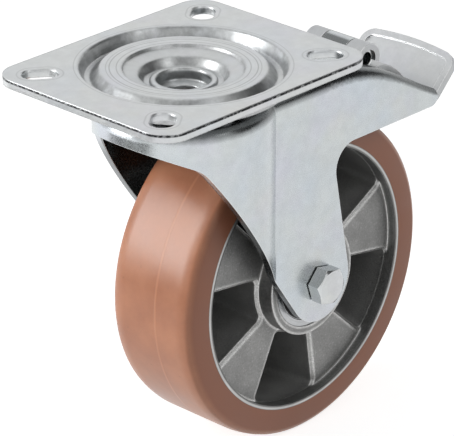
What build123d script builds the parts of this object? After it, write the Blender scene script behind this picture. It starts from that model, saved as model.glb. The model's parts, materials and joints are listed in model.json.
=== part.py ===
"""Swivel castor with a top plate, a trailing brake pedal and a toothed swivel lock.

X points the way the wheel trails, Y across the fork, Z up.
The origin is on the swivel axis, in the top face of the plate.
"""

import math
import os

from build123d import *

os.makedirs("parts", exist_ok=True)

# ---- driving dimensions, mm and degrees ----

# top plate
plate_length = 135.0
plate_width = 110.0
plate_corner = 13.0
sheet = 4.0
bolt_spacing_x = 105.0
bolt_spacing_y = 77.0
slot_width = 11.0
slot_length = 16.5
slot_edge_chamfer = 0.6

# pressed rings of the plate: radius and depth of each turn of its top face
bead_outer_radius = 47.5
bead_valley_radius = 43.9
bead_depth = 5.8
bead_wall = 2.6
bead_floor = 1.5
crown_outer_radius = 38.0
crown_depth = 1.2
crown_inner_radius = 28.0
step_depth = 2.6
cone_radius = 20.6
cone_depth = 4.4
seat_radius = 17.5
seat_depth = 8.3
step_run = 0.6
press_round = 1.4

# swivel head
race_radius = 33.0
ball_diameter = 12.0
ball_count = 14
race_clearance = 0.1
plate_groove = 0.8
fork_groove = 1.6
pin_radius = 14.2
pin_bore = 12.2
pin_lower_bore = 8.6
pin_flare = 1.4
pin_head_radius = 18.5
pin_head_height = 3.2
pin_head_chamfer = 1.0
running_clearance = 0.08
part_gap = 0.3
washer_radius = 23.5
washer_thickness = 3.0

# toothed lock ring
lock_radius = 28.5
lock_root_radius = 24.0
lock_thickness = 3.5
lock_notches = 24
notch_width = 3.6

# wheel
wheel_diameter = 160.0
wheel_width = 50.0
wheel_top_depth = 37.0
trail = 56.0
tread_shoulder = 8.5
tread_drop = 2.0
tread_corner = 2.0
rim_radius = 66.0
rim_wall = 2.0
pad_inset = 5.0
web_thickness = 6.0
boss_radius = 27.5
spoke_count = 5
spoke_turn = 9.5
pocket_half_angle_out = 19.0
pocket_half_angle_in = 22.0
floor_half_angle_out = 12.0
floor_half_angle_in = 12.0
pocket_corner = 3.0
pocket_boss_margin = 1.5
pocket_draft_in = 2.5
pocket_draft_out = 2.0
pad_bevel = 1.2

# wheel bearings and axle
bearing_radius = 23.5
bearing_bore = 10.0
bearing_width = 14.0
inner_ring_radius = 13.5
outer_ring_bore = 20.3
hub_bore = 17.0
spacer_wall = 2.5
seal_thickness = 1.0
seal_recess = 0.6
boss_side_gap = 1.5
bearing_setback = 0.5
bolt_radius = 6.0
bolt_hole_play = 0.25
bolt_head_width = 18.0
bolt_head_height = 7.5
bolt_turn = 0.0
bolt_face_radius = 8.5
bolt_face_slope = 30.0
bolt_tip_chamfer = 1.0
nut_height = 10.0
bolt_stick_out = 2.5

# fork
side_room = 5.0
drum_radius = 42.0
shoulder_radius = 8.0
shoulder_radius_tip = 4.0
least_round = 0.5
roof_stations = 5
crease_round = 4.0
leg_round = 19.5
leg_front_slope = 55.6
leg_rear_lean = 10.6
band_height = 11.5
band_slope = 25.7
band_round = 15.0
roof_start = 60.0
roof_bend = 102.0
roof_slope = 29.4
wing_depth = 36.3
wing_inner_round = 12.4
wing_tip_round = 5.0
wing_tip_setback = 0.8
head_rear_radius = 46.0
flange_opening = 48.0
flange_corner = 6.0

# pedal
pedal_sheet = 3.0
hinge_x = 106.5
hinge_drop = 9.0
hinge_pin_radius = 4.8
hinge_pin_wall = 1.4
pin_slit = 1.0
curl_start = -20.0
pedal_swing = 25.0
knuckle_half_width = 7.5
pedal_hub_half_width = 17.5
pedal_half_width = 28.8
pedal_reach = 22.5
pedal_rise = 45.0
neck_fall = 60.0
neck_bend = 16.0
trough_bend = 8.0
pedal_edge_arc = 170.0
pedal_corner = 7.5
neck_corner = 2.0
knuckle_side_gap = 0.5
neck_notch = 1.7
neck_half_width = 22.5
neck_shoulder_setback = 6.0
pedal_rim_width = 3.5
pedal_rim_height = 0.8
brake_angle = 40.3
brake_gap = 0.3
brake_pad_thickness = 4.0
brake_pad_half_length = 5.3
brake_pad_half_width = 20.0
pad_rivet_radius = 2.0
pad_rivet_offset = 12.0
pad_rivet_recess = 1.0
rivet_head_factor = 1.7
rivet_head_height = 1.1

# brake carrier, lock lever and spring
carrier_sheet = 3.0
carrier_front = 42.0
carrier_side_drop = 15.0
carrier_rear = 92.0
carrier_tail_half_width = 22.0
lever_pin_x = 62.0
lever_pin_radius = 3.0
lever_sheet = 3.0
lever_half_width = 8.0
lever_boss = 4.5
lever_finger_gap = 0.7
lever_tail_gap = 2.0
finger_root = 0.7
lever_end = 115.0
finger_width = 3.0
spring_thickness = 0.8
spring_half_width = 6.0
spring_rivet_x = 76.0
spring_rivet_pitch = 6.0
spring_rivet_radius = 1.5

# ---- places that follow from the sizes above ----

wheel_radius = wheel_diameter / 2
wheel_half = wheel_width / 2
axle_z = -(wheel_top_depth + wheel_radius)
axle_point = (trail, axle_z)
plate_under = -(crown_depth + sheet)
ball_radius = ball_diameter / 2
ball_z = plate_under + plate_groove - race_clearance - ball_radius
head_top = ball_z - ball_radius - race_clearance + fork_groove
head_under = head_top - sheet
cheek_in = wheel_half + side_room
cheek_out = cheek_in + sheet
washer_top = head_under - part_gap
lock_top = washer_top - washer_thickness
lock_under = lock_top - lock_thickness
wing_bottom = head_top - wing_depth
fork_depth = head_top - axle_z + 2 * leg_round

wheel_axis = Axis((trail, 0, axle_z), (0, -1, 0))
wheel_section = Plane(origin=(trail, 0, axle_z), x_dir=(0, 0, 1), z_dir=(1, 0, 0))


def meet(start, start_angle, end, end_angle):
    """Crossing point of two lines, each given by a point and its angle in degrees."""
    ax, ay = math.cos(math.radians(start_angle)), math.sin(math.radians(start_angle))
    bx, by = math.cos(math.radians(end_angle)), math.sin(math.radians(end_angle))
    run = ((end[0] - start[0]) * by - (end[1] - start[1]) * bx) / (ax * by - ay * bx)
    return (start[0] + run * ax, start[1] + run * ay)


def parallel(points, distance):
    """Points of a line that runs at a distance to the right of an open line of points."""
    headings = [
        math.degrees(math.atan2(end[1] - start[1], end[0] - start[0]))
        for start, end in zip(points, points[1:])
    ]
    shifted = [polar(point, distance, turn - 90) for point, turn in zip(points, headings)]
    corners = [
        meet(shifted[i - 1], headings[i - 1], shifted[i], headings[i])
        for i in range(1, len(headings))
    ]
    return [shifted[0]] + corners + [polar(points[-1], distance, headings[-1] - 90)]


def polar(centre, radius, angle):
    """Point at a radius and an angle in degrees from a centre."""
    turn = math.radians(angle)
    return (centre[0] + radius * math.cos(turn), centre[1] + radius * math.sin(turn))


# ---- top plate ----

bolt_angle = math.degrees(math.atan2(bolt_spacing_y, bolt_spacing_x))
bead_lip = bead_outer_radius + sheet
plate_face = [
    (pin_radius, -seat_depth),
    (seat_radius + step_run, -seat_depth),
    (cone_radius, -cone_depth),
    (crown_inner_radius - step_run, -step_depth),
    (crown_inner_radius, -crown_depth),
    (crown_outer_radius, -crown_depth),
    (bead_valley_radius - bead_floor, -bead_depth),
    (bead_outer_radius - bead_wall, -bead_depth),
    (bead_outer_radius, 0),
    (bead_lip, 0),
]
face_rounds = [0, press_round, 0, 0, press_round, 0, 0, press_round]
plate_back = parallel(plate_face, sheet)

with BuildPart() as top_plate:
    with BuildSketch():
        RectangleRounded(plate_length, plate_width, plate_corner)
        Circle(bead_lip, mode=Mode.SUBTRACT)
    extrude(amount=-sheet)
    with BuildSketch(Plane.XZ):
        with BuildLine():
            face_line = FilletPolyline(*plate_face, radius=face_rounds)
            back_line = Polyline(*plate_back)
            Line(face_line @ 0, back_line @ 0)
            Line(face_line @ 1, back_line @ 1)
        make_face()
    revolve(axis=Axis.Z)
    for side_x in (-1, 1):
        for side_y in (-1, 1):
            hole_x = side_x * bolt_spacing_x / 2
            hole_y = side_y * bolt_spacing_y / 2
            with BuildSketch(Location((hole_x, hole_y, 0), (0, 0, side_x * side_y * bolt_angle))):
                SlotOverall(slot_length, slot_width)
            extrude(amount=-sheet, mode=Mode.SUBTRACT)
    slot_rims = top_plate.faces().filter_by(Axis.Z).sort_by(Axis.Z)[-1].inner_wires()
    slot_edges = [
        edge
        for wire in slot_rims
        for edge in wire.edges()
        if edge.center().X ** 2 + edge.center().Y ** 2 > bead_lip**2
    ]
    chamfer(slot_edges, slot_edge_chamfer)
    with BuildSketch(Plane.XZ):
        with Locations((race_radius, ball_z)):
            Circle(ball_radius + race_clearance)
    revolve(axis=Axis.Z, mode=Mode.SUBTRACT)
top_plate.part.label = "top_plate"
export_step(top_plate.part, "parts/top_plate.step")


# ---- swivel head: pin, balls, thrust washer and lock ring ----

with BuildPart() as king_pin:
    pin_top = -seat_depth + pin_flare
    with BuildSketch(Plane.XZ):
        with BuildLine():
            Polyline(
                (pin_lower_bore, lock_under - pin_head_height),
                (pin_head_radius - pin_head_chamfer, lock_under - pin_head_height),
                (pin_head_radius, lock_under - pin_head_height + pin_head_chamfer),
                (pin_head_radius, lock_under),
                (pin_radius, lock_under),
                (pin_radius, -seat_depth),
                (pin_radius + pin_flare, -seat_depth),
                (pin_radius + pin_flare, pin_top - pin_flare / 2),
                (pin_radius + pin_flare / 2, pin_top),
                (pin_bore + pin_flare / 2, pin_top),
                (pin_bore, pin_top - pin_flare),
                (pin_bore, pin_top - sheet - pin_flare),
                (pin_lower_bore, pin_top - sheet - 2 * pin_flare),
                close=True,
            )
        make_face()
    revolve(axis=Axis.Z)
king_pin.part.label = "king_pin"
export_step(king_pin.part, "parts/king_pin.step")

with BuildPart() as race_balls:
    with Locations((0, 0, ball_z)):
        with PolarLocations(race_radius, ball_count):
            Sphere(ball_radius)
race_balls.part.label = "race_balls"
export_step(race_balls.part, "parts/race_balls.step")

with BuildPart() as thrust_washer:
    with BuildSketch(Plane.XY.offset(lock_top)):
        Circle(washer_radius)
        Circle(pin_radius, mode=Mode.SUBTRACT)
    extrude(amount=washer_thickness)
thrust_washer.part.label = "thrust_washer"
export_step(thrust_washer.part, "parts/thrust_washer.step")

with BuildPart() as lock_ring:
    with BuildSketch(Plane.XY.offset(lock_under)):
        Circle(lock_radius)
        Circle(pin_radius, mode=Mode.SUBTRACT)
        with PolarLocations(lock_radius, lock_notches):
            Rectangle(2 * (lock_radius - lock_root_radius), notch_width, mode=Mode.SUBTRACT)
    extrude(amount=lock_thickness)
lock_ring.part.label = "lock_ring"
export_step(lock_ring.part, "parts/lock_ring.step")

# ---- fork ----


def roof_height(x):
    """Height of the fork's top face at a distance behind the swivel axis."""
    slope = math.radians(roof_slope)
    bend_run = roof_bend * math.sin(slope)
    if x <= roof_start:
        return head_top
    if x <= roof_start + bend_run:
        return head_top - roof_bend + math.sqrt(roof_bend**2 - (x - roof_start) ** 2)
    bend_drop = roof_bend * (1 - math.cos(slope))
    return head_top - bend_drop - (x - roof_start - bend_run) * math.tan(slope)


def head_plan(radius, half_width, blend):
    """Round drum that runs into two cheeks."""
    Circle(radius)
    with Locations((roof_start / 2, 0)):
        Rectangle(roof_start, 2 * half_width)
    fillet(vertices().group_by(Axis.X)[0], blend)


def fork_form(skin):
    """Solid form of the fork's sheet at a depth below its outer face."""
    half_width = cheek_out - skin
    with BuildPart() as form:
        with BuildSketch(Plane.XY.offset(head_top - skin)):
            head_plan(drum_radius - skin, half_width, crease_round + skin)
        extrude(amount=-fork_depth)
        rim = form.faces().filter_by(Axis.Z).sort_by(Axis.Z)[-1].edges()
        fillet(rim.sort_by(Axis.X)[:-1], shoulder_radius - skin)
        for i in range(roof_stations):
            share = i / (roof_stations - 1)
            x = roof_start + share * (wing_tip_x + skin - roof_start)
            tilt = math.sqrt(1 + ((roof_height(x - 1) - roof_height(x + 1)) / 2) ** 2) if i else 1
            top = roof_height(x) - skin * tilt
            tip_radius = max(shoulder_radius_tip - skin, least_round)
            corner = (1 - share) * (shoulder_radius - skin) + share * tip_radius
            floor = head_top - skin - fork_depth
            with BuildSketch(Plane.YZ.offset(x)):
                with BuildLine():
                    outline = FilletPolyline(
                        (-half_width, floor),
                        (-half_width, top),
                        (half_width, top),
                        (half_width, floor),
                        radius=corner,
                    )
                    Line(outline @ 1, outline @ 0)
                make_face()
        loft()
    return form.part


# the pedal's bend sets how far back the wings reach
hinge = (hinge_x, head_top - hinge_drop)
knuckle_radius = hinge_pin_radius + running_clearance / 2 + pedal_sheet
knuckle_middle = knuckle_radius - pedal_sheet / 2
brake_reach = wheel_radius + brake_gap + brake_pad_thickness
pressed_bend = polar(axle_point, brake_reach, brake_angle)
swing = math.radians(pedal_swing)
pressed_run = pressed_bend[0] - hinge[0]
pressed_drop = pressed_bend[1] - hinge[1]
bend_outside = (
    hinge[0] + pressed_run * math.cos(swing) - pressed_drop * math.sin(swing),
    hinge[1] + pressed_run * math.sin(swing) + pressed_drop * math.cos(swing),
)
pad_heading = brake_angle + 180 + pedal_swing
bend_centre = polar(bend_outside, trough_bend + pedal_sheet / 2, pad_heading - 180)
wing_tip_x = bend_centre[0] - wing_tip_setback

front_tangent = polar(axle_point, leg_round, 270 - leg_front_slope)
rear_tangent = polar(axle_point, leg_round, leg_rear_lean)
band_front = (-drum_radius, head_top - band_height)
band_back = polar(band_front, 2 * drum_radius, -band_slope)
leg_point = meet(front_tangent, -leg_front_slope, rear_tangent, 90 + leg_rear_lean)
leg_shoulder = meet(band_front, -band_slope, front_tangent, -leg_front_slope)
wing_corner = meet((wing_tip_x, wing_bottom), 0, rear_tangent, 90 + leg_rear_lean)
nose = meet(band_front, -band_slope, (-2 * drum_radius, 0), 90)

fork_outside = fork_form(0)
fork_inside = fork_form(sheet)

with BuildPart() as fork:
    add(fork_outside)
    with BuildSketch(Plane.XZ):
        with BuildLine():
            FilletPolyline(
                nose,
                leg_shoulder,
                leg_point,
                wing_corner,
                (wing_tip_x, wing_bottom),
                (wing_tip_x, 0),
                (nose[0], 0),
                radius=[0, band_round, leg_round, wing_inner_round, wing_tip_round, 0, 0],
                close=True,
            )
        make_face()
    extrude(amount=2 * drum_radius, both=True, mode=Mode.INTERSECT)
    add(fork_inside, mode=Mode.SUBTRACT)
    with BuildSketch():
        with Locations((head_rear_radius + wing_tip_x / 2, 0)):
            Rectangle(wing_tip_x + head_rear_radius, flange_opening)
        Circle(head_rear_radius, mode=Mode.SUBTRACT)
        fillet(vertices().group_by(Axis.X)[0], flange_corner)
    extrude(amount=wing_bottom, mode=Mode.SUBTRACT)
    with BuildSketch(Plane.XY.offset(head_top)):
        Circle(pin_radius + running_clearance)
    extrude(amount=-sheet, mode=Mode.SUBTRACT)
    with BuildSketch(Plane.XZ):
        with Locations(axle_point):
            Circle(bolt_radius + bolt_hole_play)
    extrude(amount=2 * drum_radius, both=True, mode=Mode.SUBTRACT)
    with BuildSketch(Plane.XZ):
        with Locations((race_radius, ball_z)):
            Circle(ball_radius + race_clearance)
    revolve(axis=Axis.Z, mode=Mode.SUBTRACT)
fork.part.label = "fork"
export_step(fork.part, "parts/fork.step")


# ---- wheel ----

rim_bore = rim_radius - rim_wall
pad_face = wheel_half - pad_inset
pocket_floor = pad_face - web_thickness
boss_face = wheel_half + side_room - boss_side_gap
bearing_outer = boss_face - bearing_setback
bearing_inner = bearing_outer - bearing_width
spoke_pitch = 360 / spoke_count
pocket_inside = boss_radius + pocket_boss_margin


def wheel_side(reach, side=1):
    """Plane square to the axle, at a reach from the wheel's middle, facing out of it."""
    return Plane(
        origin=(trail, -side * reach, axle_z), x_dir=(side, 0, 0), z_dir=(0, -side, 0)
    )


def sector(inner, outer, half_angle_in, half_angle_out, heading, corner):
    """Sector face between two radii, rounded at its corners."""
    start_in = polar((0, 0), inner, heading - half_angle_in)
    start_out = polar((0, 0), outer, heading - half_angle_out)
    end_out = polar((0, 0), outer, heading + half_angle_out)
    end_in = polar((0, 0), inner, heading + half_angle_in)
    with BuildLine() as outline:
        Line(start_in, start_out)
        ThreePointArc(start_out, polar((0, 0), outer, heading), end_out)
        Line(end_out, end_in)
        ThreePointArc(end_in, polar((0, 0), inner, heading), start_in)
    make_face(outline.edges())
    fillet(vertices(), corner)


def wheel_rings(inner, outer, start, width):
    """A ring round the axle on each side of the wheel."""
    for side in (1, -1):
        with BuildSketch(wheel_side(start, side)) as ring:
            Circle(outer)
            Circle(inner, mode=Mode.SUBTRACT)
        extrude(ring.sketch, amount=width)


with BuildPart() as tread:
    crown_half = wheel_half - tread_shoulder
    shoulder_edge = wheel_radius - tread_drop
    with BuildSketch(wheel_section):
        with BuildLine():
            Line((wheel_radius, -crown_half), (wheel_radius, crown_half))
            TangentArc((wheel_radius, crown_half), (shoulder_edge, wheel_half), tangent=(0, 1))
            TangentArc((wheel_radius, -crown_half), (shoulder_edge, -wheel_half), tangent=(0, -1))
            Polyline(
                (shoulder_edge, wheel_half),
                (rim_radius, wheel_half),
                (rim_radius, -wheel_half),
                (shoulder_edge, -wheel_half),
            )
        make_face()
        side_corners = [v for v in vertices() if abs(v.X - shoulder_edge) < tread_drop / 2]
        chamfer(side_corners, tread_corner)
    revolve(axis=wheel_axis)
tread.part.label = "tread"
export_step(tread.part, "parts/tread.step")

with BuildPart() as wheel_centre:
    with BuildSketch(wheel_section):
        Rectangle(rim_radius, wheel_width, align=(Align.MIN, Align.CENTER))
        Rectangle(boss_radius, 2 * boss_face, align=(Align.MIN, Align.CENTER))
        Rectangle(
            hub_bore, 2 * boss_face, align=(Align.MIN, Align.CENTER), mode=Mode.SUBTRACT
        )
        for side in (1, -1):
            with Locations((boss_radius, side * pad_face)):
                Rectangle(
                    rim_bore - boss_radius,
                    2 * boss_face,
                    align=(Align.MIN, Align.MIN if side > 0 else Align.MAX),
                    mode=Mode.SUBTRACT,
                )
    revolve(axis=wheel_axis)
    for side in (1, -1):
        for k in range(spoke_count):
            near = spoke_turn + (k + 0.5) * spoke_pitch
            far = 180 - spoke_turn - k * spoke_pitch
            heading = near if side > 0 else far
            with BuildSketch(wheel_side(pad_face, side)):
                sector(
                    pocket_inside,
                    rim_bore,
                    pocket_half_angle_in,
                    pocket_half_angle_out,
                    heading,
                    pocket_corner,
                )
            with BuildSketch(wheel_side(-pocket_floor, side)):
                sector(
                    pocket_inside + pocket_draft_in,
                    rim_bore - pocket_draft_out,
                    floor_half_angle_in,
                    floor_half_angle_out,
                    heading,
                    pocket_corner,
                )
            loft(ruled=True, mode=Mode.SUBTRACT)
            for level, grown in ((pad_face - pad_bevel, 0), (pad_face, pad_bevel)):
                with BuildSketch(wheel_side(level, side)):
                    sector(
                        pocket_inside - grown,
                        rim_bore,
                        pocket_half_angle_in + math.degrees(grown / pocket_inside),
                        pocket_half_angle_out + math.degrees(grown / rim_bore),
                        heading,
                        pocket_corner,
                    )
            loft(ruled=True, mode=Mode.SUBTRACT)
        with BuildSketch(wheel_side(bearing_inner, side)):
            Circle(bearing_radius)
        extrude(amount=bearing_width + 2 * bearing_setback, mode=Mode.SUBTRACT)
wheel_centre.part.label = "wheel_centre"
export_step(wheel_centre.part, "parts/wheel_centre.step")

# ---- wheel bearings ----

with BuildPart() as bearing_outer_rings:
    wheel_rings(outer_ring_bore, bearing_radius, bearing_inner, bearing_width)
bearing_outer_rings.part.label = "bearing_outer_rings"
export_step(bearing_outer_rings.part, "parts/bearing_outer_rings.step")

with BuildPart() as bearing_inner_rings:
    wheel_rings(bearing_bore, inner_ring_radius, bearing_inner, bearing_width)
bearing_inner_rings.part.label = "bearing_inner_rings"
export_step(bearing_inner_rings.part, "parts/bearing_inner_rings.step")

with BuildPart() as bearing_seals:
    seal_start = bearing_outer - seal_recess - seal_thickness
    wheel_rings(inner_ring_radius + part_gap, outer_ring_bore, seal_start, seal_thickness)
bearing_seals.part.label = "bearing_seals"
export_step(bearing_seals.part, "parts/bearing_seals.step")

# ---- axle ----

with BuildPart() as axle_tube:
    with BuildSketch(wheel_side(-cheek_in)):
        Circle(bearing_bore)
        Circle(bolt_radius + bolt_hole_play, mode=Mode.SUBTRACT)
    extrude(amount=2 * cheek_in)
axle_tube.part.label = "axle_tube"
export_step(axle_tube.part, "parts/axle_tube.step")

with BuildPart() as centre_spacer:
    with BuildSketch(wheel_side(-bearing_inner)):
        Circle(bearing_bore + spacer_wall)
        Circle(bearing_bore, mode=Mode.SUBTRACT)
    extrude(amount=2 * bearing_inner)
centre_spacer.part.label = "centre_spacer"
export_step(centre_spacer.part, "parts/centre_spacer.step")

with BuildPart() as side_spacers:
    wheel_rings(bearing_bore, inner_ring_radius, bearing_outer, cheek_in - bearing_outer)
side_spacers.part.label = "side_spacers"
export_step(side_spacers.part, "parts/side_spacers.step")

bolt_face = cheek_out + bolt_head_height
face_drop = (bolt_head_width - bolt_face_radius) * math.tan(math.radians(bolt_face_slope))

with BuildPart() as axle_bolt:
    with BuildSketch(wheel_side(cheek_out)):
        RegularPolygon(bolt_head_width / 2, 6, major_radius=False, rotation=bolt_turn)
    extrude(amount=bolt_head_height)
    with BuildSketch(wheel_section):
        with BuildLine():
            Polyline(
                (0, cheek_out),
                (bolt_head_width, cheek_out),
                (bolt_head_width, bolt_face - face_drop),
                (bolt_face_radius, bolt_face),
                (0, bolt_face),
                close=True,
            )
        make_face()
    revolve(axis=wheel_axis, mode=Mode.INTERSECT)
    with BuildSketch(wheel_side(cheek_out)):
        Circle(bolt_radius)
    extrude(amount=-(2 * cheek_out + nut_height + bolt_stick_out))
    chamfer(axle_bolt.edges().sort_by(Axis.Y)[-1], bolt_tip_chamfer)
axle_bolt.part.label = "axle_bolt"
export_step(axle_bolt.part, "parts/axle_bolt.step")

with BuildPart() as axle_nut:
    with BuildSketch(wheel_side(cheek_out, -1)):
        RegularPolygon(bolt_head_width / 2, 6, major_radius=False)
        Circle(bolt_radius, mode=Mode.SUBTRACT)
    extrude(amount=nut_height)
axle_nut.part.label = "axle_nut"
export_step(axle_nut.part, "parts/axle_nut.step")

# ---- brake pedal ----

neck_height = hinge[1] - knuckle_middle
neck_touch = polar(bend_centre, trough_bend, 270 - neck_fall)
plate_touch = polar(bend_centre, trough_bend, 270 + pedal_rise)
neck_bend_point = meet((hinge_x, neck_height), 0, neck_touch, -neck_fall)
trough_bend_point = meet(neck_touch, -neck_fall, plate_touch, pedal_rise)
plate_overlap = polar(plate_touch, pedal_sheet / 2, pedal_rise)
shoulder_x = bend_centre[0] - neck_shoulder_setback
neck_start_x = hinge_x + knuckle_radius + pedal_sheet
rise = math.radians(pedal_rise)
pedal_plane = Plane(
    origin=(plate_touch[0], 0, plate_touch[1]),
    x_dir=(math.cos(rise), 0, math.sin(rise)),
    z_dir=(-math.sin(rise), 0, math.cos(rise)),
)
pad_turn = math.radians(pad_heading)
pad_direction = (math.cos(pad_turn), 0, math.sin(pad_turn))
rivet_planes = [
    Plane(
        origin=(bend_centre[0], side * pad_rivet_offset, bend_centre[1]),
        x_dir=(0, 1, 0),
        z_dir=pad_direction,
    )
    for side in (1, -1)
]
bend_inside = trough_bend - pedal_sheet / 2
bend_back = trough_bend + pedal_sheet / 2
rivet_head_radius = rivet_head_factor * pad_rivet_radius
rivet_seat = math.sqrt(bend_inside**2 - rivet_head_radius**2)
rivet_end = bend_back + brake_pad_thickness - pad_rivet_recess


def pedal_outline(inset, start):
    """Outline of the pedal's plate, with a bowed rear edge and rounded corners."""
    half = pedal_half_width - inset
    reach = pedal_reach - inset
    corner_reach = reach - pedal_edge_arc + math.sqrt(pedal_edge_arc**2 - half**2)
    with BuildSketch() as outline:
        with BuildLine():
            Polyline((corner_reach, -half), (start, -half), (start, half), (corner_reach, half))
            ThreePointArc((corner_reach, half), (reach, 0), (corner_reach, -half))
        make_face()
        fillet(outline.vertices().group_by(Axis.X)[-1], pedal_corner - inset)
    return outline.sketch


plate_outline = pedal_outline(0, 0)
plate_inside = pedal_outline(pedal_rim_width, -pedal_rim_width)

with BuildPart() as brake_pedal:
    with BuildSketch(Plane.XZ):
        with BuildLine():
            curl = CenterArc(hinge, knuckle_middle, curl_start, 270 - curl_start)
            FilletPolyline(
                curl @ 1,
                neck_bend_point,
                trough_bend_point,
                plate_overlap,
                radius=[neck_bend, trough_bend],
            )
        trace(line_width=pedal_sheet)
    extrude(amount=pedal_half_width, both=True)
    for side in (1, -1):
        with BuildSketch(Plane.XY.offset(hinge[1] - wing_depth)):
            with BuildLine():
                FilletPolyline(
                    (hinge_x - 2 * knuckle_radius, side * pedal_hub_half_width),
                    (neck_start_x, side * pedal_hub_half_width),
                    (shoulder_x, side * neck_half_width),
                    (shoulder_x, side * 2 * pedal_half_width),
                    (hinge_x - 2 * knuckle_radius, side * 2 * pedal_half_width),
                    radius=[0, neck_bend, neck_corner, 0, 0],
                    close=True,
                )
            make_face()
        extrude(amount=2 * wing_depth, mode=Mode.SUBTRACT)
    with BuildSketch(Plane.XY.offset(hinge[1] - wing_depth)):
        with Locations((hinge_x, 0)):
            Rectangle(
                2 * (knuckle_radius + neck_notch), 2 * (knuckle_half_width + knuckle_side_gap)
            )
    extrude(amount=2 * wing_depth, mode=Mode.SUBTRACT)
    with BuildSketch(pedal_plane):
        add(plate_outline)
    extrude(amount=pedal_sheet / 2, both=True)
    with BuildSketch(pedal_plane.offset(pedal_sheet / 2)):
        add(plate_outline)
        add(plate_inside, mode=Mode.SUBTRACT)
    extrude(amount=pedal_rim_height)
    for plane in rivet_planes:
        with BuildSketch(plane):
            Circle(pad_rivet_radius)
        extrude(amount=bend_back + brake_pad_thickness, mode=Mode.SUBTRACT)
brake_pedal.part.label = "brake_pedal"
export_step(brake_pedal.part, "parts/brake_pedal.step")

with BuildPart() as pedal_pin:
    with BuildSketch(Plane.XZ):
        with Locations(hinge):
            Circle(hinge_pin_radius)
            Circle(hinge_pin_radius - hinge_pin_wall, mode=Mode.SUBTRACT)
            with Locations((0, -hinge_pin_radius)):
                Rectangle(pin_slit, hinge_pin_radius, mode=Mode.SUBTRACT)
    extrude(amount=pedal_hub_half_width - hinge_pin_wall, both=True)
pedal_pin.part.label = "pedal_pin"
export_step(pedal_pin.part, "parts/pedal_pin.step")

with BuildPart() as brake_pad:
    with BuildSketch(Plane.XZ):
        with Locations(Location((bend_centre[0], bend_centre[1], 0), (0, 0, pad_heading))):
            Rectangle(
                bend_back + brake_pad_thickness,
                2 * brake_pad_half_length,
                align=(Align.MIN, Align.CENTER),
            )
            Circle(bend_back, mode=Mode.SUBTRACT)
    extrude(amount=brake_pad_half_width, both=True)
    for plane in rivet_planes:
        with BuildSketch(plane):
            Circle(pad_rivet_radius)
        extrude(amount=rivet_end, mode=Mode.SUBTRACT)
brake_pad.part.label = "brake_pad"
export_step(brake_pad.part, "parts/brake_pad.step")

with BuildPart() as pad_rivets:
    for plane in rivet_planes:
        with BuildSketch(plane.offset(rivet_seat)):
            Circle(pad_rivet_radius)
        extrude(amount=rivet_end - rivet_seat)
        with BuildSketch(plane.offset(rivet_seat)):
            Circle(rivet_head_radius)
        extrude(amount=-rivet_head_height)
pad_rivets.part.label = "pad_rivets"
export_step(pad_rivets.part, "parts/pad_rivets.step")

# ---- brake carrier under the fork ----

deck_under = head_under - carrier_sheet
lever_top = lock_under - lever_finger_gap
lever_middle = lever_top - lever_sheet / 2
lever_pin_point = (lever_pin_x, lever_middle)
lug_inside = lever_half_width + part_gap

with BuildPart() as brake_carrier:
    with BuildSketch(Plane.YZ.offset(carrier_front)):
        with Locations((0, head_under)):
            Rectangle(2 * cheek_in, carrier_side_drop, align=(Align.CENTER, Align.MAX))
        fillet(vertices().group_by(Axis.Y)[-1], shoulder_radius - sheet + least_round)
        with Locations((0, deck_under)):
            Rectangle(
                2 * (cheek_in - carrier_sheet),
                carrier_side_drop,
                align=(Align.CENTER, Align.MAX),
                mode=Mode.SUBTRACT,
            )
    extrude(amount=roof_start - carrier_front)
    with BuildSketch(Plane.XY.offset(head_under)):
        with Locations((carrier_front, 0)):
            Rectangle(
                carrier_rear - carrier_front,
                2 * carrier_tail_half_width,
                align=(Align.MIN, Align.CENTER),
            )
        fillet(vertices().group_by(Axis.X)[-1], flange_corner)
        with Locations((carrier_rear - carrier_sheet, 0)):
            Rectangle(
                hinge_x - hinge_pin_radius - carrier_rear + carrier_sheet,
                2 * knuckle_half_width,
                align=(Align.MIN, Align.CENTER),
            )
    extrude(amount=-carrier_sheet)
    with BuildSketch(Plane.XZ):
        with Locations(hinge):
            Circle(knuckle_radius)
    extrude(amount=knuckle_half_width, both=True)
    for side in (1, -1):
        with BuildSketch(Plane.XZ.offset(side * lug_inside)):
            with BuildLine():
                lug_radius = lever_pin_radius + carrier_sheet / 2
                Polyline(
                    (lever_pin_x - lug_radius, lever_middle),
                    (lever_pin_x - lug_radius, deck_under),
                    (lever_pin_x + lug_radius, deck_under),
                    (lever_pin_x + lug_radius, lever_middle),
                )
                ThreePointArc(
                    (lever_pin_x + lug_radius, lever_middle),
                    (lever_pin_x, lever_middle - lug_radius),
                    (lever_pin_x - lug_radius, lever_middle),
                )
            make_face()
        extrude(amount=side * carrier_sheet)
    with BuildSketch(Plane.XZ):
        with Locations(hinge):
            Circle(hinge_pin_radius)
        with Locations(lever_pin_point):
            Circle(lever_pin_radius)
    extrude(amount=2 * cheek_in, both=True, mode=Mode.SUBTRACT)
    with BuildSketch(Plane.XY.offset(head_under)):
        with Locations((spring_rivet_x, 0), (spring_rivet_x + spring_rivet_pitch, 0)):
            Circle(spring_rivet_radius)
    extrude(amount=-carrier_sheet, mode=Mode.SUBTRACT)
brake_carrier.part.label = "brake_carrier"
export_step(brake_carrier.part, "parts/brake_carrier.step")

# ---- swivel lock lever, its pin and its spring ----

tail_top = hinge[1] - knuckle_radius - lever_tail_gap
tail_middle = tail_top - lever_sheet / 2
joggle_end = hinge_x - knuckle_radius - lever_sheet
joggle_start = joggle_end - (lever_middle - tail_middle)

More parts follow.
